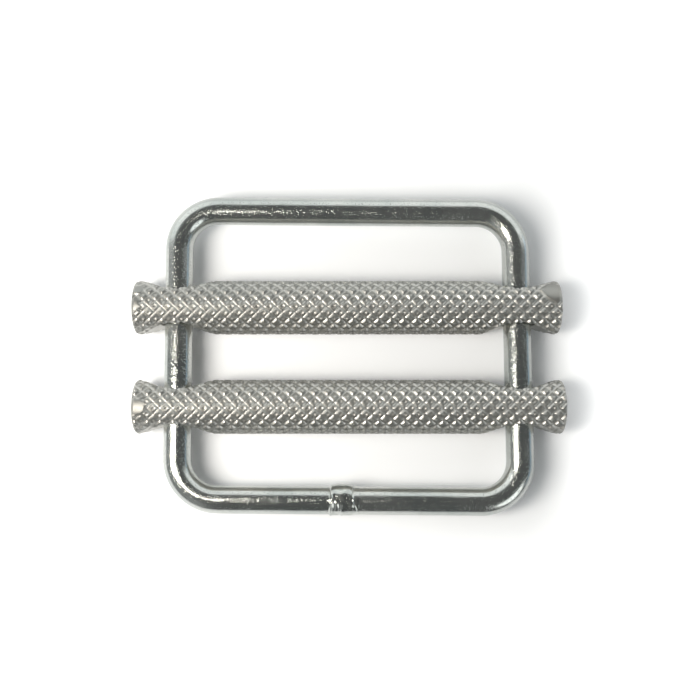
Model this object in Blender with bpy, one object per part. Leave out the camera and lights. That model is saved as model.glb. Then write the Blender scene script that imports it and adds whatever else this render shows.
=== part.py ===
"""Sliding-bar webbing buckle, lying flat on its two bars.

A round wire is bent into a rounded rectangle and closed by a butt weld in its lower crossbar. Two
round bars lie across it, each with a countersunk cross hole near either end. The frame's side legs
pass through those holes, so the bars slide along the legs and grip webbing that is threaded
between them.

Units are metres and +Z is up. X runs along the bars and Y along the side legs. The origin is on the
surface that the bars rest on, under the middle of the frame.
"""

import math

import bmesh
import bpy
from mathutils import Vector

MM = 0.001

# Wire frame
WIRE_DIAMETER = 4.0 * MM
INNER_WIDTH = 45.0 * MM  # clear width for the webbing, between the side legs
INNER_LENGTH = 37.8 * MM  # clear length, between the crossbars
BEND_RADIUS = 5.8 * MM  # of the wire's centreline
BEND_STEPS = 12
WIRE_BEVEL_RESOLUTION = 10  # 24 sides

# Butt weld in the lower crossbar
WELD_X = -0.6 * MM
WELD_WIDTH = 4.4 * MM
WELD_SWELL = 0.15 * MM  # growth of the weld's radius at its crown
WELD_STEPS = 6

# Bars
BAR_DIAMETER = 7.7 * MM
BAR_LENGTH = 61.0 * MM
BAR_END_ROUND = 0.5 * MM
UPPER_BAR_Y = 6.75 * MM
LOWER_BAR_Y = -7.6 * MM
BAR_OFFSET_X = 0.15 * MM  # each bar sits this far off the middle, to opposite sides

# Cross holes
HOLE_DIAMETER = 5.2 * MM
COUNTERSINK_DIAMETER = 9.6 * MM  # of the cone, level with the side of the bar
COUNTERSINK_ANGLE = math.radians(118)

JOIN_GAP = 0.3 * MM  # between solids that touch
CUTTER_OVERSHOOT = 1.0 * MM
ROUND_SIDES = 48
SHARP_ANGLE = math.radians(35)

WIRE_RADIUS = WIRE_DIAMETER / 2
BAR_RADIUS = BAR_DIAMETER / 2
LEG_X = INNER_WIDTH / 2 + WIRE_RADIUS
CROSSBAR_Y = INNER_LENGTH / 2 + WIRE_RADIUS


def clear_scene():
    for obj in list(bpy.data.objects):
        bpy.data.objects.remove(obj)


def metal(name, colour, roughness):
    material = bpy.data.materials.new(name)
    material.use_nodes = True
    shader = material.node_tree.nodes["Principled BSDF"]
    shader.inputs["Base Color"].default_value = (*colour, 1.0)
    shader.inputs["Metallic"].default_value = 1.0
    shader.inputs["Roughness"].default_value = roughness
    return material


def add_object(name, data, location, parent, material=None):
    obj = bpy.data.objects.new(name, data)
    obj.location = location
    obj.parent = parent
    if material:
        data.materials.append(material)
    bpy.context.scene.collection.objects.link(obj)
    return obj


def turned_mesh(name, profile, axis):
    """A closed solid turned round an axis ("X" or "Y"). profile is a list of (along, radius)."""
    shape = bmesh.new()
    rings = []
    for along, radius in profile:
        ring = []
        for step in range(ROUND_SIDES):
            angle = 2 * math.pi * step / ROUND_SIDES
            across = radius * math.cos(angle)
            height = radius * math.sin(angle)
            place = (along, across, height) if axis == "X" else (across, along, height)
            ring.append(shape.verts.new(place))
        rings.append(ring)
    for ring, following in zip(rings, rings[1:]):
        for i in range(ROUND_SIDES):
            j = (i + 1) % ROUND_SIDES
            shape.faces.new((ring[i], ring[j], following[j], following[i]))
    shape.faces.new(rings[0])
    shape.faces.new(rings[-1])
    bmesh.ops.recalc_face_normals(shape, faces=shape.faces)
    mesh = bpy.data.meshes.new(name)
    shape.to_mesh(mesh)
    shape.free()
    mesh.shade_smooth()
    mesh.set_sharp_from_angle(angle=SHARP_ANGLE)
    return mesh


def wire_centreline():
    """Points from one end of the wire, at the weld, round all four bends to the other end."""
    points = [Vector((WELD_X + WELD_WIDTH / 2, -CROSSBAR_Y, 0))]
    corners = ((1, -1), (1, 1), (-1, 1), (-1, -1))
    for turn, (side_x, side_y) in enumerate(corners):
        middle_x = side_x * (LEG_X - BEND_RADIUS)
        middle_y = side_y * (CROSSBAR_Y - BEND_RADIUS)
        for step in range(BEND_STEPS + 1):
            angle = math.pi / 2 * (turn - 1 + step / BEND_STEPS)
            x = middle_x + BEND_RADIUS * math.cos(angle)
            y = middle_y + BEND_RADIUS * math.sin(angle)
            points.append(Vector((x, y, 0)))
    points.append(Vector((WELD_X - WELD_WIDTH / 2, -CROSSBAR_Y, 0)))
    return points


def make_wire_frame(parent):
    curve = bpy.data.curves.new("wire_frame", "CURVE")
    curve.dimensions = "3D"
    curve.twist_mode = "Z_UP"
    curve.bevel_depth = WIRE_RADIUS
    curve.bevel_resolution = WIRE_BEVEL_RESOLUTION
    curve.use_fill_caps = True
    points = wire_centreline()
    spline = curve.splines.new("POLY")
    spline.points.add(len(points) - 1)
    for spline_point, point in zip(spline.points, points):
        spline_point.co = (*point, 1.0)
    zinc = metal("bright_zinc", (0.55, 0.56, 0.54), 0.25)
    return add_object("wire_frame", curve, (0, 0, BAR_RADIUS), parent, zinc)


def make_weld_bead(parent):
    """The upset metal that joins the wire's two ends. It is flush with the outside of the frame."""
    half = WELD_WIDTH / 2 - JOIN_GAP
    profile = []
    for step in range(WELD_STEPS + 1):
        share = 2 * step / WELD_STEPS - 1
        swell = WELD_SWELL * math.cos(math.pi / 2 * share)
        profile.append((half * share, WIRE_RADIUS + swell))
    mesh = turned_mesh("weld_bead", profile, "X")
    location = (WELD_X, -CROSSBAR_Y + WELD_SWELL, BAR_RADIUS)
    return add_object("weld_bead", mesh, location, parent, metal("weld_zinc", (0.45, 0.46, 0.44), 0.4))


def cross_hole_cutter(bar, x):
    """A through hole along Y with a cone at either mouth, for a Boolean. x is in the bar's frame."""
    slope = math.tan(COUNTERSINK_ANGLE / 2)
    hole = HOLE_DIAMETER / 2
    mouth = COUNTERSINK_DIAMETER / 2
    throat = BAR_RADIUS - (mouth - hole) / slope
    far = BAR_RADIUS + CUTTER_OVERSHOOT
    far_radius = mouth + CUTTER_OVERSHOOT * slope
    profile = [(-far, far_radius), (-throat, hole), (throat, hole), (far, far_radius)]
    side = "left" if x < 0 else "right"
    name = f"{bar.name}_{side}_hole_cutter"
    cutter = add_object(name, turned_mesh(name, profile, "Y"), (x, 0, 0), bar)
    cutter.hide_render = True
    cutter.display_type = "WIRE"
    return cutter


def make_bar(name, offset_x, y, parent):
    """A bar whose holes stay on the side legs while its body sits offset_x off the middle."""
    half = BAR_LENGTH / 2
    mesh = turned_mesh(name, [(-half, BAR_RADIUS), (half, BAR_RADIUS)], "X")
    nickel = metal(f"{name}_nickel", (0.58, 0.56, 0.52), 0.35)
    bar = add_object(name, mesh, (offset_x, y, BAR_RADIUS), parent, nickel)
    rounding = bar.modifiers.new("end_rounding", "BEVEL")
    rounding.width = BAR_END_ROUND
    rounding.segments = 3
    rounding.limit_method = "ANGLE"
    rounding.angle_limit = math.radians(60)
    for leg_x in (-LEG_X, LEG_X):
        cutter = cross_hole_cutter(bar, leg_x - offset_x)
        cut = bar.modifiers.new(cutter.name, "BOOLEAN")
        cut.operation = "DIFFERENCE"
        cut.solver = "EXACT"
        cut.object = cutter
    return bar


def main():
    clear_scene()
    buckle = add_object("buckle", None, (0, 0, 0), None)
    make_wire_frame(buckle)
    make_weld_bead(buckle)
    make_bar("upper_bar", -BAR_OFFSET_X, UPPER_BAR_Y, buckle)
    make_bar("lower_bar", BAR_OFFSET_X, LOWER_BAR_Y, buckle)


main()
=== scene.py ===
import math

import bmesh
import bpy
import numpy as np
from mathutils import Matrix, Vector


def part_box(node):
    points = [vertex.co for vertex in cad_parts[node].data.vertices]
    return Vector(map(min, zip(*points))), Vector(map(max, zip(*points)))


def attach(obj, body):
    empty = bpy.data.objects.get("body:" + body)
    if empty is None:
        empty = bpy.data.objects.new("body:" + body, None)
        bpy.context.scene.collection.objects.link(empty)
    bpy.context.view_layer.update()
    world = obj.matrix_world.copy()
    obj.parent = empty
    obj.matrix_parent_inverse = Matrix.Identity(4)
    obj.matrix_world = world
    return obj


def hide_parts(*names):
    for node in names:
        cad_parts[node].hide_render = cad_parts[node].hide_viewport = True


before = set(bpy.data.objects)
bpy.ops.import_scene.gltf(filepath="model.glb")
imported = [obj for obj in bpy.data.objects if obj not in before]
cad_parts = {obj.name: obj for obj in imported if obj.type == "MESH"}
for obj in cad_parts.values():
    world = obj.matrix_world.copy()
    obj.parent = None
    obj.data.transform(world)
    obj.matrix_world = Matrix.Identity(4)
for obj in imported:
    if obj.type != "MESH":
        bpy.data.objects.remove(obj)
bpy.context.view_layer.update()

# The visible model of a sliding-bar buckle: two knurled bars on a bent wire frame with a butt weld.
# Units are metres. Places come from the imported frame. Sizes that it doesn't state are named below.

MM = 0.001

# Wire frame
BEND_RADIUS = 5.8 * MM  # of the wire's centreline
WIRE_SIDES = 72
WIRE_STEP = 0.45 * MM  # between rings along the wire
WIRE_WAVE = 0.012 * MM  # unevenness left by drawing and bending
WIRE_RIPPLES = ((1.0, 7, 2, 0.0), (1.0, 19, -3, 1.3), (0.7, 43, 1, 0.4))  # strength, laps, turns, phase
BEND_FLATTENING = 0.035 * MM  # how much thinner the wire gets across the inside of a bend
LEAN_X, LEAN_Y = -0.0058, -0.0079  # how far the bent frame is out of square, as slopes

# Weld. Its shape is in mm: along the wire from the weld's middle, and above the wire's surface
WELD_SIDES = 96
WELD_RINGS = 140
WELD_OVERLAP = 0.3 * MM  # at either end, over the gap that the CAD model leaves
WELD_SINK, WELD_END_SINK = 0.005, 0.035  # below the wire's surface, where the weld adds nothing
WELD_LEFT, WELD_RIGHT = -1.98, 1.32
WELD_BODY, WELD_CROWN = 0.09, 0.05  # height all round, and more on top
SADDLE = (-0.25, 1.5, 0.27)  # place, half-width and height of the swell to the inside of the frame
# The same three for each lump on the weld. The first two are placed from the left edge
RIDGE = (0.27, 0.13, 0.10)
HOLLOW = (0.75, 0.22, -0.11)
NUB = (-1.12, 0.20, 0.15)
CREASE = (-0.62, 0.18, -0.07)
THREAD = (-0.30, 0.10, 0.05)
FLASH = (1.30, 0.05, 0.08)
WELD_RIPPLES = 6
WELD_RIPPLE_HEIGHT = 0.004

# Noise patterns: where nearly all of their values lie
NOISE_LOW, NOISE_HIGH = 0.3, 0.7

# Zinc plate
MOTTLE_SCALE, PEEL_SCALE, FOLD_SCALE, DIMPLE_SCALE = 160, 2200, 1200, 3900
DIMPLE_DEPTH = 0.015 * MM
WIRE_ROUGHNESS, WELD_ROUGHNESS = (0.13, 0.21), (0.12, 0.24)
DULL_ZINC, BRIGHT_ZINC = (0.54, 0.565, 0.54, 1), (0.66, 0.67, 0.635, 1)
# Painted shade: the colour in the middle of each dimple
DIMPLE_SHADE_ZINC = (0.34, 0.35, 0.33, 1)
DULL_WELD, BRIGHT_WELD = (0.52, 0.54, 0.51, 1), (0.68, 0.69, 0.65, 1)

# Knurl
KNURL_STARTS = 14
KNURL_PITCH = 1.803 * MM  # along the bar
KNURL_DEPTH = 0.30 * MM
CREST_RISE = 0.08 * MM  # of a full tooth above the blank bar. Its crater leaves about half of that
CELL_STOPS = np.array([0.0, 0.05, 0.15, 0.26, 0.37, 0.5, 0.63, 0.74, 0.85, 0.95])  # mesh lines in a cell
FLANK_SHARE = 0.26  # of the cell's width that the foot of a tooth takes on each side
FOOT_HEIGHT = 0.80  # of the tooth's height
TIP_WANDER = 0.06  # of the cell's width
CRATER_RADIUS = 0.125  # of the cell's width
LUCK_CELLS = 64  # cells before the teeth's unevenness repeats
PATCH_INNER, PATCH_OUTER = 0.75, 1.1  # where a smooth patch fades out, as shares of its half-widths

# Bars
BAR_END_ROUND = 0.5 * MM
END_STEPS = 6  # in the rounding
END_LEAD = 0.6  # of a step, by which the rounding's radius runs ahead of its length
RING_PITCH = 0.32 * MM  # of the lathe marks on the end faces
GRAIN_SCALE, CLOUD_SCALE, TINT_SCALE = 9000, 420, 130
GRAIN_DEPTH = 0.008 * MM
BAR_ROUGHNESS = (0.38, 0.52)
GROOVE_GLOSS = 0.08  # how much less rough the grooves are
BROWN_TOP, GREY_TOP = (0.41, 0.40, 0.37, 1), (0.37, 0.37, 0.35, 1)
# Painted highlight: the grooves' colour, brighter than the teeth's tops
GROOVE_HIGHLIGHT_NICKEL = (0.57, 0.56, 0.525, 1)
CLOUD_NICKEL = (0.33, 0.31, 0.28, 1)
ENVELOPE_SIDES = 144
SHARP_ANGLE = math.radians(38)

# How each bar differs: its knurl's phase along the bar and round it, the seed of its teeth's
# unevenness, the shift of its grain, and the smooth patches near its ends. A patch has its place along
# the bar, its turn in radians, its half-width both ways, and its depth.
BARS = {
    "upper_bar": {
        "phase": 0.775 * MM,
        "turn_phase": 0.084,
        "seed": 11,
        "grain_shift": 0.0,
        "patches": (
            (29.3 * MM, 1.04, 1.6 * MM, 0.46, 0.03 * MM),
            (-29.7 * MM, 0.96, 0.8 * MM, 0.22, 0.06 * MM),
            (-30.0 * MM, 1.62, 0.8 * MM, 0.25, 0.05 * MM),
        ),
    },
    "lower_bar": {
        "phase": 0.52 * MM,
        "turn_phase": 0.079,
        "seed": 12,
        "grain_shift": 0.05,
        "patches": (
            (-29.5 * MM, 1.60, 1.2 * MM, 0.33, 0.05 * MM),
        ),
    },
}

# Cross holes
HOLE_DIAMETER = 5.3 * MM
COUNTERSINK_DIAMETER = 9.85 * MM  # level with the side of the bar
COUNTERSINK_ANGLE = math.radians(118)
RIM_ROUND = 0.30 * MM
CUTTER_SIDES = 96
OVERSHOOT = 1.0 * MM

# Lamps. The second is hidden from glossy surfaces, so it lights only the floor
KEY_PLACE = (-78 * MM, -22 * MM, 116 * MM)
KEY_COLOUR = (1.0, 0.955, 0.88)
KEY_WIDTH, KEY_HEIGHT, KEY_RADIANCE = 40 * MM, 86 * MM, 14
FLOOR_KEY_COLOUR = (1, 1, 1)
FLOOR_KEY_SIZE, FLOOR_KEY_RADIANCE = 115 * MM, 3.6

# Light from all round, as shares of the bright wall's
OVERHEAD_LEVEL = 0.12
LEFT_LEVEL = 0.20
RIGHT_LEVEL = 0.45
CORNER_LEVEL = 1.6
CORNER_AIM = (0.62, -0.62, 0.50)
STUDIO_COLOUR, RIGHT_COLOUR = (0.95, 0.985, 0.985, 1), (0.62, 0.82, 1.0, 1)

# Floor. The camera sees it whiter than the metal does, and brightest away from the frame
FLOOR_REACH = 2.0
FLOOR_REFLECTED, FLOOR_SEEN = (0.80, 0.81, 0.83, 1), (0.95, 0.955, 0.96, 1)
GLOW_START, GLOW_FULL = 3 * MM, 17 * MM  # from the frame's centreline
GLOW_LEVEL = 0.6

# Camera
CAMERA_LENS = 45.26  # mm
CAMERA_SENSOR = 36  # mm
CAMERA_PLACE = (0.27 * MM, -11.45 * MM, 130.5 * MM)
CAMERA_TILT = math.radians(5.434)
CAMERA_CLIP = 5 * MM

WIRE_LOW, WIRE_HIGH = (Vector(corner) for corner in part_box("wire_frame"))
WIRE_RADIUS = (WIRE_HIGH.z - WIRE_LOW.z) / 2
WIRE_Z = (WIRE_HIGH.z + WIRE_LOW.z) / 2
LEG_X = WIRE_HIGH.x - WIRE_RADIUS
CROSSBAR_Y = WIRE_HIGH.y - WIRE_RADIUS


# Mesh helpers

def smoothstep(low, high, value):
    share = np.clip((value - low) / (high - low), 0.0, 1.0)
    return share * share * (3 - 2 * share)


def bell(value, centre, width):
    return np.exp(-(((value - centre) / width) ** 2))


def add_object(name, data, location=(0, 0, 0)):
    obj = bpy.data.objects.new(name, data)
    obj.location = location
    bpy.context.scene.collection.objects.link(obj)
    return obj


def closed_mesh(name, vertices, faces):
    """A mesh whose faces all point out."""
    mesh = bpy.data.meshes.new(name)
    mesh.from_pydata(vertices, [], faces)
    shape = bmesh.new()
    shape.from_mesh(mesh)
    bmesh.ops.recalc_face_normals(shape, faces=shape.faces)
    shape.to_mesh(mesh)
    shape.free()
    mesh.shade_smooth()
    return mesh


def tube_faces(rings, sides, closed=False):
    """Quads between rings of vertices. An open tube gets a flat face at either end."""
    faces = []
    for ring in range(rings if closed else rings - 1):
        start = ring * sides
        following = (ring + 1) % rings * sides
        for i in range(sides):
            j = (i + 1) % sides
            faces.append((start + i, start + j, following + j, following + i))
    if not closed:
        faces.append(tuple(range(sides)))
        faces.append(tuple(range((rings - 1) * sides, rings * sides)))
    return faces


def turned_mesh(name, profile, sides, axis):
    """A closed solid turned round an axis ("X" or "Y"). profile is a list of (along, radius)."""
    vertices = []
    for along, radius in profile:
        for step in range(sides):
            angle = 2 * math.pi * step / sides
            across, height = radius * math.cos(angle), radius * math.sin(angle)
            vertices.append((along, across, height) if axis == "X" else (across, along, height))
    return closed_mesh(name, vertices, tube_faces(len(profile), sides))


def cut(obj, other, operation):
    step = obj.modifiers.new(operation.lower(), "BOOLEAN")
    step.operation = operation
    step.solver = "MANIFOLD"
    step.object = other


def apply_modifiers(obj):
    bpy.context.view_layer.update()
    graph = bpy.context.evaluated_depsgraph_get()
    mesh = bpy.data.meshes.new_from_object(obj.evaluated_get(graph))
    obj.modifiers.clear()
    obj.data = mesh
    mesh.name = obj.name


# Bars

def tooth_height(a, b, seed):
    """Height of the knurl's teeth as a share, 0 in the grooves. a and b are whole on the grooves.

    A tooth has a broad foot, a blunt top that rises a little, and a crater in its tip.
    """
    chance = np.random.default_rng(seed).random((LUCK_CELLS, LUCK_CELLS, 4))
    luck = chance[np.floor(a).astype(int) % LUCK_CELLS, np.floor(b).astype(int) % LUCK_CELLS]
    in_a, in_b = a % 1, b % 1
    from_groove = np.minimum(np.minimum(in_a, 1 - in_a), np.minimum(in_b, 1 - in_b))
    foot = FOOT_HEIGHT * np.clip(from_groove / FLANK_SHARE, 0, 1) ** 1.5
    top = (1 - FOOT_HEIGHT) * np.clip((from_groove - FLANK_SHARE) / (0.5 - FLANK_SHARE), 0, 1)
    height = foot + top * (0.85 + 0.2 * luck[..., 0])
    off_a = in_a - 0.5 - TIP_WANDER * (luck[..., 1] - 0.5)
    off_b = in_b - 0.5 - TIP_WANDER * (luck[..., 2] - 0.5)
    crater = np.exp(-((np.hypot(off_a, off_b) / CRATER_RADIUS) ** 2))
    return height - (0.55 + 0.25 * luck[..., 3]) * crater


def knurl_grid(reach, phase, turn_phase):
    """The knurl's mesh points, in rows round the bar, each row half a step round from the last.

    a and b count the cells across either family of grooves, x is along the bar and turn round it.
    """
    steps = len(CELL_STOPS)
    last_row = 2 * math.ceil(2 * reach / (KNURL_PITCH / steps))
    row = np.arange(last_row + 1)[:, None]
    difference = 2 * np.arange(KNURL_STARTS * steps)[None, :] + row % 2
    step_a, step_b = (row + difference) // 2, (row - difference) // 2
    a = step_a // steps + CELL_STOPS[step_a % steps]
    b = step_b // steps + CELL_STOPS[step_b % steps]
    x = (a + b) * KNURL_PITCH / 2 - reach + phase
    turn = (a - b) * math.pi / KNURL_STARTS + turn_phase
    return a, b, x, turn


def grid_faces(last_row, per_row):
    """Diamonds between the grid's rows, then triangles from either end row to the tip beyond it."""
    def beside(row, other, i):
        """The two points of a neighbouring row that a point lies between."""
        ahead = i + row % 2
        return other * per_row + ahead % per_row, other * per_row + (ahead - 1) % per_row

    faces = []
    for row in range(last_row - 1):
        for i in range(per_row):
            ahead, behind = beside(row, row + 1, i)
            faces.append((row * per_row + i, ahead, (row + 2) * per_row + i, behind))
    tip = (last_row + 1) * per_row
    for row, other in ((0, 1), (last_row, last_row - 1)):
        for i in range(per_row):
            here = row * per_row + i
            ahead, behind = beside(row, other, i)
            faces.append((behind, here, tip))
            faces.append((here, ahead, tip))
        tip += 1
    return faces


def with_smooth_patches(depth, x, turn, patches):
    """The knurl's depth, faded to a patch's own depth where the bar stayed smooth."""
    for patch_x, patch_turn, half_width, half_turn, patch_depth in patches:
        off = (turn - patch_turn + math.pi) % (2 * math.pi) - math.pi
        away = np.hypot((x - patch_x) / half_width, off / half_turn)
        share = 1 - smoothstep(PATCH_INNER, PATCH_OUTER, away)
        depth = depth * (1 - share) + patch_depth * share
    return depth


def with_rounded_rims(radial, x, turn, radius, hole_xs):
    """The surface lowered close to each countersink's cone, which rounds the rim of its mouth."""
    hole, mouth = HOLE_DIAMETER / 2, COUNTERSINK_DIAMETER / 2
    slope = math.tan(COUNTERSINK_ANGLE / 2)
    for hole_x in hole_xs:
        y, z = radial * np.cos(turn), radial * np.sin(turn)
        cone = np.maximum(mouth - (radius - np.abs(y)) * slope, hole)
        distance = (np.hypot(x - hole_x, z) - cone) * math.cos(COUNTERSINK_ANGLE / 2)
        near = np.clip(RIM_ROUND - distance, 0, RIM_ROUND)
        radial = radial - near**2 / (2 * RIM_ROUND)
    return radial


def knurled_blank(name, length, radius, hole_xs, bar):
    """A closed knurled cylinder, longer than the bar. Its mesh lines run along the knurl's grooves."""
    reach = length / 2 + OVERSHOOT
    a, b, x, turn = knurl_grid(reach, bar["phase"], bar["turn_phase"])
    depth = KNURL_DEPTH * (1 - tooth_height(a, b, bar["seed"]))
    depth = with_smooth_patches(depth, x, turn, bar["patches"])
    radial = radius + CREST_RISE - np.maximum(depth, 0.0)
    radial = with_rounded_rims(radial, x, turn, radius, hole_xs)
    places = np.stack([x, radial * np.cos(turn), radial * np.sin(turn)], axis=-1)
    vertices = places.reshape(-1, 3).tolist()
    for side in (-1, 1):
        vertices.append((side * (reach + 2 * OVERSHOOT), 0.0, 0.0))
    rows, per_row = x.shape
    return closed_mesh(name, vertices, grid_faces(rows - 1, per_row))


def envelope_mesh(name, length, radius):
    """What the knurled blank is trimmed to: flat ends with rounded edges, clear of the teeth between."""
    half = length / 2
    lead = math.pi / 2 * END_LEAD / END_STEPS
    profile = []
    for step in range(END_STEPS):
        angle = math.pi / 2 * (step + END_LEAD) / END_STEPS
        along = -half + BAR_END_ROUND * (1 - math.cos(angle - lead))
        profile.append((along, radius - BAR_END_ROUND * (1 - math.sin(angle))))
    profile.append((-half + 1.3 * BAR_END_ROUND, radius + 0.3 * BAR_END_ROUND))
    profile += [(-along, height) for along, height in reversed(profile)]
    return turned_mesh(name, profile, ENVELOPE_SIDES, "X")


def cross_hole_cutter(name, radius):
    """A through hole along Y with a cone at either mouth."""
    slope = math.tan(COUNTERSINK_ANGLE / 2)
    hole, mouth = HOLE_DIAMETER / 2, COUNTERSINK_DIAMETER / 2
    throat = radius - (mouth - hole) / slope
    far = radius + OVERSHOOT
    far_radius = mouth + OVERSHOOT * slope
    profile = [(-far, far_radius), (-throat, hole), (throat, hole), (far, far_radius)]
    return turned_mesh(name, profile, CUTTER_SIDES, "Y")


def make_bar(node):
    low, high = (Vector(corner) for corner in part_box(node))
    centre = (low + high) / 2
    radius, length = (high.z - low.z) / 2, high.x - low.x
    hole_xs = (-LEG_X - centre.x, LEG_X - centre.x)
    name = node + "_knurled"
    bar = add_object(name, knurled_blank(name, length, radius, hole_xs, BARS[node]), centre)
    tools = [add_object("envelope", envelope_mesh("envelope", length, radius), centre)]
    cut(bar, tools[0], "INTERSECT")
    for hole_x in hole_xs:
        place = centre + Vector((hole_x, 0, 0))
        tools.append(add_object("cutter", cross_hole_cutter("cutter", radius), place))
        cut(bar, tools[-1], "DIFFERENCE")
    apply_modifiers(bar)
    for tool in tools:
        bpy.data.objects.remove(tool)
    bar.data.shade_smooth()
    bar.data.set_sharp_from_angle(angle=SHARP_ANGLE)
    bar.data.materials.clear()
    bar.data.materials.append(bar_metal(node + "_nickel", radius, length / 2, BARS[node]["grain_shift"]))
    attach(bar, node)
    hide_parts(node)


# Wire frame and weld

def out_of_square(x, y):
    """How far the hand-bent frame is off its true shape at a place."""
    return LEAN_X * y, LEAN_Y * x


def wire_route():
    """Centreline points, each with its direction outwards and how far it is into a bend, from 0 to 1."""
    straight_x, straight_y = LEG_X - BEND_RADIUS, CROSSBAR_Y - BEND_RADIUS
    bend_steps = round(math.pi / 2 * BEND_RADIUS / WIRE_STEP)
    stations = []
    for turn, (side_x, side_y) in enumerate(((1, -1), (1, 1), (-1, 1), (-1, -1))):
        start = math.pi / 2 * (turn - 1)
        middle = Vector((side_x * straight_x, side_y * straight_y, 0))
        for step in range(bend_steps):
            share = step / bend_steps
            angle = start + math.pi / 2 * share
            outwards = Vector((math.cos(angle), math.sin(angle), 0))
            stations.append((middle + BEND_RADIUS * outwards, outwards, math.sin(math.pi * share)))
        end = start + math.pi / 2
        outwards = Vector((math.cos(end), math.sin(end), 0))
        along = Vector((-outwards.y, outwards.x, 0))
        run = 2 * (straight_y if turn % 2 == 0 else straight_x)
        straight_steps = round(run / WIRE_STEP)
        for step in range(straight_steps):
            place = middle + BEND_RADIUS * outwards + along * (run * step / straight_steps)
            stations.append((place, outwards, 0.0))
    return stations


def wire_wave(lap, angle):
    """Unevenness from -1 to 1. lap is how far round the frame, angle how far round the wire."""
    wave, total = 0.0, 0.0
    for strength, laps, turns, phase in WIRE_RIPPLES:
        wave += strength * math.sin(laps * lap + turns * angle + phase)
        total += strength
    return wave / total


def make_wire():
    stations = wire_route()
    vertices = []
    for index, (place, outwards, bend) in enumerate(stations):
        lap = 2 * math.pi * index / len(stations)
        for side in range(WIRE_SIDES):
            angle = 2 * math.pi * side / WIRE_SIDES
            inside = max(0.0, -math.cos(angle))
            radius = WIRE_RADIUS + WIRE_WAVE * (wire_wave(lap, angle) - 1)
            radius -= BEND_FLATTENING * bend * inside
            across, height = radius * math.cos(angle), radius * math.sin(angle)
            point = place + across * outwards
            lean_x, lean_y = out_of_square(point.x, point.y)
            vertices.append((point.x + lean_x, point.y + lean_y, WIRE_Z + height))
    mesh = closed_mesh("bent_wire", vertices, tube_faces(len(stations), WIRE_SIDES, closed=True))
    mesh.materials.append(plated_wire())
    wire = add_object("bent_wire", mesh)
    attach(wire, "frame")
    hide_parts("wire_frame")


def lump(x, shape, start=0.0):
    """The height of one lump on the weld at x mm. Its place is counted from start."""
    place, half_width, height = shape
    return height * bell(x, start + place, half_width)


def weld_lift(x, turn):
    """How far the weld stands above the wire, in mm, at x mm from its middle. turn 0 is the inside.

    It is a pinched bead with a steep, ridged left side, a swell to the inside of the frame, a nub on
    top, and a fine line of flash that slants away on the outside.
    """
    inner, top = np.cos(turn), np.sin(turn)
    outer = -inner
    left = WELD_LEFT - 0.22 * np.clip(outer, 0, 1) + 0.05 * np.sin(5 * turn)
    right = WELD_RIGHT + 0.08 * np.sin(4 * turn + 1)
    right_fall = 0.22 + 0.8 * np.clip(outer + 0.2, 0, 1)
    body = smoothstep(left - 0.02, left + 0.26, x)
    body = body * (1 - smoothstep(right - right_fall / 2, right + right_fall / 2, x))
    lift = body * (WELD_BODY + WELD_CROWN * np.clip(top, 0, 1))
    saddle_x, saddle_width, saddle_height = SADDLE
    saddle = saddle_height * np.exp(-(((x - saddle_x) / saddle_width) ** 4))
    lift += saddle * np.clip(inner + 0.05, 0, 1) ** 1.2
    lift += lump(x, RIDGE, left) * np.clip(top + 0.5, 0, 1)
    lift += lump(x, HOLLOW, left) * bell(turn, math.pi * 0.62, 0.75)
    lift += lump(x, NUB) * bell(turn, math.pi * 0.53, 0.20)
    lift += lump(x, CREASE) * np.clip(outer + 0.4, 0, 1)
    lift += lump(x, THREAD) * np.clip(outer + 0.2, 0, 1)
    flash_slant = 0.18 * inner + 1.25 * np.clip(outer, 0, 1) ** 1.3
    lift += lump(x, FLASH, flash_slant) * np.clip(top + 0.15, 0, 1)
    for along, round_it, phase in np.random.default_rng(7).random((WELD_RIPPLES, 3)):
        ripple = np.sin((2 + 4 * along) * x + (1 + round(3 * round_it)) * turn + 6 * phase)
        lift += WELD_RIPPLE_HEIGHT * body * ripple
    return lift


def make_weld():
    low, high = (Vector(corner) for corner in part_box("weld_bead"))
    middle_x = (low.x + high.x) / 2
    half = (high.x - low.x) / 2 + WELD_OVERLAP
    share = np.linspace(-1, 1, WELD_RINGS)[:, None]
    turn = np.linspace(0, 2 * math.pi, WELD_SIDES, endpoint=False)[None, :]
    x = share * half
    fade = smoothstep(1.0, 0.94, np.abs(share))
    sink = WELD_END_SINK + (WELD_SINK - WELD_END_SINK) * fade
    radius = WIRE_RADIUS + (weld_lift(x / MM, turn) * fade - sink) * MM
    y = -CROSSBAR_Y + radius * np.cos(turn) + out_of_square(middle_x, 0)[1]
    z = WIRE_Z + radius * np.sin(turn)
    places = np.stack(np.broadcast_arrays(middle_x + x, y, z), axis=-1)
    mesh = closed_mesh("butt_weld", places.reshape(-1, 3).tolist(), tube_faces(WELD_RINGS, WELD_SIDES))
    mesh.materials.append(weld_metal())
    weld = add_object("butt_weld", mesh)
    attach(weld, "frame")
    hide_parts("weld_bead")


# Materials

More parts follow.
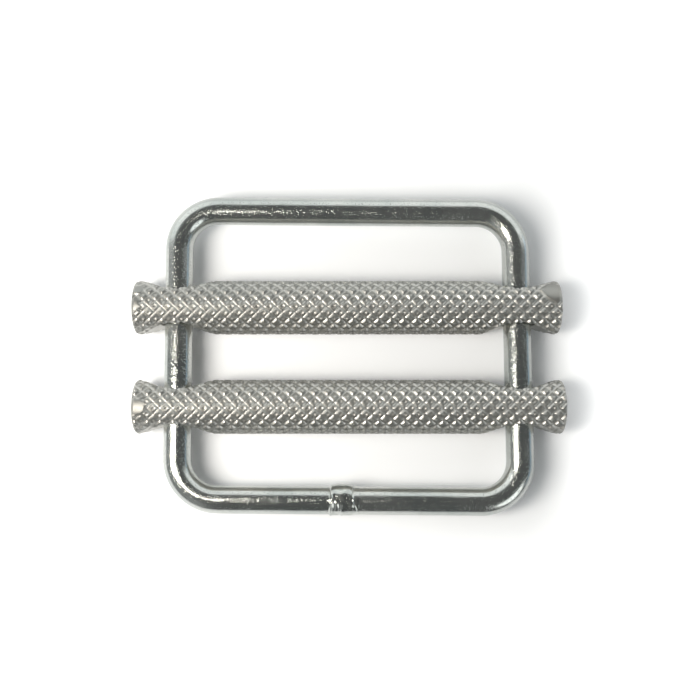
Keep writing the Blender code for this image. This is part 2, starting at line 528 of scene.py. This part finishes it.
class Graph:
    """Short names for building a material's or the world's nodes."""

    def __init__(self, tree):
        self.tree = tree

    def add(self, kind, values=None, **settings):
        node = self.tree.nodes.new(kind)
        for name, value in settings.items():
            setattr(node, name, value)
        for socket, value in (values or {}).items():
            self.put(node.inputs[socket], value)
        return node

    def put(self, socket, value):
        if isinstance(value, bpy.types.NodeSocket):
            self.tree.links.new(value, socket)
        else:
            socket.default_value = value

    def math(self, operation, *values):
        return self.add("ShaderNodeMath", dict(enumerate(values)), operation=operation).outputs[0]

    def noise(self, vector, scale, detail=2.0, roughness=0.5):
        values = {"Vector": vector, "Scale": scale, "Detail": detail, "Roughness": roughness}
        return self.add("ShaderNodeTexNoise", values).outputs["Fac"]

    def range(self, value, low, high, to_low=0.0, to_high=1.0):
        values = {"Value": value, "From Min": low, "From Max": high, "To Min": to_low, "To Max": to_high}
        return self.add("ShaderNodeMapRange", values, interpolation_type="SMOOTHSTEP").outputs["Result"]

    def mix(self, share, first, second):
        node = self.add("ShaderNodeMix", data_type="RGBA")
        self.put(node.inputs["Factor"], share)
        self.put(node.inputs["A"], first)
        self.put(node.inputs["B"], second)
        return node.outputs["Result"]

    def bump(self, height, distance):
        values = {"Height": height, "Distance": distance, "Strength": 1.0}
        return self.add("ShaderNodeBump", values).outputs["Normal"]

    def split(self, vector):
        node = self.add("ShaderNodeSeparateXYZ", {0: vector})
        return [node.outputs[axis] for axis in "XYZ"]


def metal(name):
    material = bpy.data.materials.new(name)
    material.use_nodes = True
    shader = material.node_tree.nodes["Principled BSDF"]
    shader.inputs["Metallic"].default_value = 1.0
    return material, Graph(material.node_tree), shader


def zinc_dimples(graph, place):
    """From 0 in the middle of each of the plate's tiny dimples to 1 between them."""
    cells = graph.add("ShaderNodeTexVoronoi", {"Vector": place, "Scale": DIMPLE_SCALE, "Randomness": 1.0})
    return graph.range(cells.outputs["Distance"], 0.10, 0.42)


def plated_wire():
    """Bright zinc over drawn wire: smooth plate with fine dimples, painted shade in each dimple, and
    brighter and duller patches.
    """
    material, graph, shader = metal("bright_zinc_plate")
    place = graph.add("ShaderNodeTexCoord").outputs["Object"]
    mottle = graph.noise(place, MOTTLE_SCALE, 3.0)
    colour = graph.mix(graph.range(mottle, 0.35, 0.68), DULL_ZINC, BRIGHT_ZINC)
    dimples = zinc_dimples(graph, place)
    # Painted shade: darker towards the middle of each dimple
    colour = graph.mix(graph.range(dimples, 0.0, 1.0, 0.6, 0.0), colour, DIMPLE_SHADE_ZINC)
    graph.put(shader.inputs["Base Color"], colour)
    peel = graph.noise(place, PEEL_SCALE)
    graph.put(shader.inputs["Roughness"], graph.range(peel, NOISE_LOW, NOISE_HIGH, *WIRE_ROUGHNESS))
    height = graph.math("ADD", dimples, graph.math("MULTIPLY", peel, 0.3))
    graph.put(shader.inputs["Normal"], graph.bump(height, DIMPLE_DEPTH))
    return material


def weld_metal():
    """The same plate over metal that was melted: paler, with soft folds."""
    material, graph, shader = metal("plated_weld")
    place = graph.add("ShaderNodeTexCoord").outputs["Object"]
    folds = graph.noise(place, FOLD_SCALE)
    colour = graph.mix(graph.range(folds, 0.38, 0.62), DULL_WELD, BRIGHT_WELD)
    graph.put(shader.inputs["Base Color"], colour)
    graph.put(shader.inputs["Roughness"], graph.range(folds, NOISE_LOW, NOISE_HIGH, *WELD_ROUGHNESS))
    dimples = graph.math("MULTIPLY", zinc_dimples(graph, place), 0.6)
    height = graph.math("ADD", dimples, folds)
    graph.put(shader.inputs["Normal"], graph.bump(height, DIMPLE_DEPTH))
    return material


def bar_metal(name, radius, half_length, grain_shift):
    """Matt nickel with a painted highlight: the grooves are painted brighter than the duller tops of the
    teeth. Turned end faces.
    """
    material, graph, shader = metal(name)
    place = graph.add("ShaderNodeTexCoord").outputs["Object"]
    shift = {0: place, 1: (grain_shift, 0, 0)}
    shifted = graph.add("ShaderNodeVectorMath", shift, operation="ADD").outputs[0]
    x, y, z = graph.split(place)
    squares = [graph.math("MULTIPLY", value, value) for value in (y, z)]
    from_axis = graph.math("SQRT", graph.math("ADD", *squares))
    depth = graph.math("SUBTRACT", radius, from_axis)
    groove = graph.range(depth, -0.04 * MM, 0.16 * MM)
    grain = graph.noise(shifted, GRAIN_SCALE, 3.0, 0.65)
    cloud = graph.noise(shifted, CLOUD_SCALE, 3.0)
    tint = graph.noise(shifted, TINT_SCALE)
    top = graph.mix(graph.range(tint, 0.35, 0.65), BROWN_TOP, GREY_TOP)
    # Painted highlight: the grooves are painted brighter than the teeth's tops, by depth
    colour = graph.mix(groove, top, GROOVE_HIGHLIGHT_NICKEL)
    colour = graph.mix(graph.range(cloud, 0.55, 0.8, 0.0, 0.35), colour, CLOUD_NICKEL)
    graph.put(shader.inputs["Base Color"], colour)
    matt = graph.range(grain, NOISE_LOW, NOISE_HIGH, *BAR_ROUGHNESS)
    gloss = graph.math("MULTIPLY", groove, GROOVE_GLOSS)
    graph.put(shader.inputs["Roughness"], graph.math("SUBTRACT", matt, gloss))
    # Lathe rings, only on the end faces
    rings = graph.math("SINE", graph.math("MULTIPLY", from_axis, 2 * math.pi / RING_PITCH))
    along = graph.math("ABSOLUTE", x)
    end = graph.range(along, half_length - 0.03 * MM, half_length - 0.01 * MM)
    rings = graph.math("MULTIPLY", rings, graph.math("MULTIPLY", end, 0.6))
    graph.put(shader.inputs["Normal"], graph.bump(graph.math("ADD", grain, rings), GRAIN_DEPTH))
    return material


# Studio

def area_light(name, place, target, width, height, radiance, colour):
    light = bpy.data.lights.new(name, "AREA")
    light.shape = "ELLIPSE"
    light.size, light.size_y = width, height
    light.energy = radiance * math.pi * width * height * math.pi / 4
    light.color = colour
    obj = add_object(name, light, place)
    obj.rotation_euler = (Vector(target) - Vector(place)).to_track_quat("-Z", "Y").to_euler()
    return obj


def make_lamps():
    centre = (0, 0, 0)
    area_light("key", KEY_PLACE, centre, KEY_WIDTH, KEY_HEIGHT, KEY_RADIANCE, KEY_COLOUR)
    twin = area_light("floor_key", KEY_PLACE, centre, FLOOR_KEY_SIZE, FLOOR_KEY_SIZE,
                      FLOOR_KEY_RADIANCE, FLOOR_KEY_COLOUR)
    twin.visible_glossy = False


def make_world():
    """Dim overhead, where the camera stands, with a bright wall behind, dimmer sides, and a bright
    patch to the near right. The ranges are of the direction's own x, y and z, from -1 to 1.
    """
    world = bpy.data.worlds.new("studio")
    world.use_nodes = True
    graph = Graph(world.node_tree)
    direction = graph.add("ShaderNodeTexCoord").outputs["Generated"]
    x, y, z = graph.split(direction)
    wall = graph.math("MULTIPLY", graph.range(z, 0.76, 0.66), graph.range(y, 0.15, 0.45))
    left = graph.math("MULTIPLY", graph.range(x, -0.1, -0.5), graph.range(z, 0.95, 0.6))
    right = graph.math("MULTIPLY", graph.range(x, 0.85, 0.96), graph.range(z, 0.35, 0.15))
    aim = {0: direction, 1: Vector(CORNER_AIM).normalized()}
    towards = graph.add("ShaderNodeVectorMath", aim, operation="DOT_PRODUCT").outputs["Value"]
    corner = graph.range(towards, 0.93, 0.98)
    level = wall
    for share, strength in ((left, LEFT_LEVEL), (right, RIGHT_LEVEL), (corner, CORNER_LEVEL)):
        level = graph.math("ADD", level, graph.math("MULTIPLY", share, strength))
    level = graph.math("ADD", level, OVERHEAD_LEVEL)
    # The camera sees a plain bright backdrop instead
    seen = graph.add("ShaderNodeLightPath").outputs["Is Camera Ray"]
    background = world.node_tree.nodes["Background"]
    graph.put(background.inputs["Strength"], graph.math("MAXIMUM", level, seen))
    blue = graph.math("MULTIPLY", right, graph.math("SUBTRACT", 1.0, seen))
    graph.put(background.inputs["Color"], graph.mix(blue, STUDIO_COLOUR, RIGHT_COLOUR))
    bpy.context.scene.world = world


def floor_material():
    material = bpy.data.materials.new("pale_floor")
    material.use_nodes = True
    shader = material.node_tree.nodes["Principled BSDF"]
    graph = Graph(material.node_tree)
    seen = graph.add("ShaderNodeLightPath").outputs["Is Camera Ray"]
    x, y, _ = graph.split(graph.add("ShaderNodeTexCoord").outputs["Object"])
    squares = []
    for along, reach in ((x, LEG_X), (y, CROSSBAR_Y)):
        past = graph.math("SUBTRACT", graph.math("ABSOLUTE", along), reach)
        squares.append(graph.math("POWER", graph.math("MAXIMUM", past, 0.0), 2.0))
    away = graph.math("SQRT", graph.math("ADD", *squares))
    glow = graph.math("MULTIPLY", graph.range(away, GLOW_START, GLOW_FULL, 0.0, GLOW_LEVEL), seen)
    shader.inputs["Emission Color"].default_value = (1, 1, 1, 1)
    graph.put(shader.inputs["Emission Strength"], glow)
    graph.put(shader.inputs["Base Color"], graph.mix(seen, FLOOR_REFLECTED, FLOOR_SEEN))
    shader.inputs["Roughness"].default_value = 0.9
    shader.inputs["Specular IOR Level"].default_value = 0.2
    return material


def make_floor():
    mesh = bpy.data.meshes.new("floor")
    corners = [(side_x * FLOOR_REACH, side_y * FLOOR_REACH, 0)
               for side_x, side_y in ((-1, -1), (1, -1), (1, 1), (-1, 1))]
    mesh.from_pydata(corners, [], [(0, 1, 2, 3)])
    mesh.materials.append(floor_material())
    floor = add_object("floor", mesh)


def make_camera():
    data = bpy.data.cameras.new("camera")
    data.sensor_width = CAMERA_SENSOR
    data.lens = CAMERA_LENS
    data.clip_start = CAMERA_CLIP
    camera = add_object("camera", data, CAMERA_PLACE)
    camera.rotation_euler = (CAMERA_TILT, 0, 0)
    bpy.context.scene.camera = camera


for node in BARS:
    make_bar(node)
make_wire()
make_weld()

make_floor()
make_world()
make_lamps()
make_camera()
bpy.context.scene.view_settings.view_transform = "Standard"
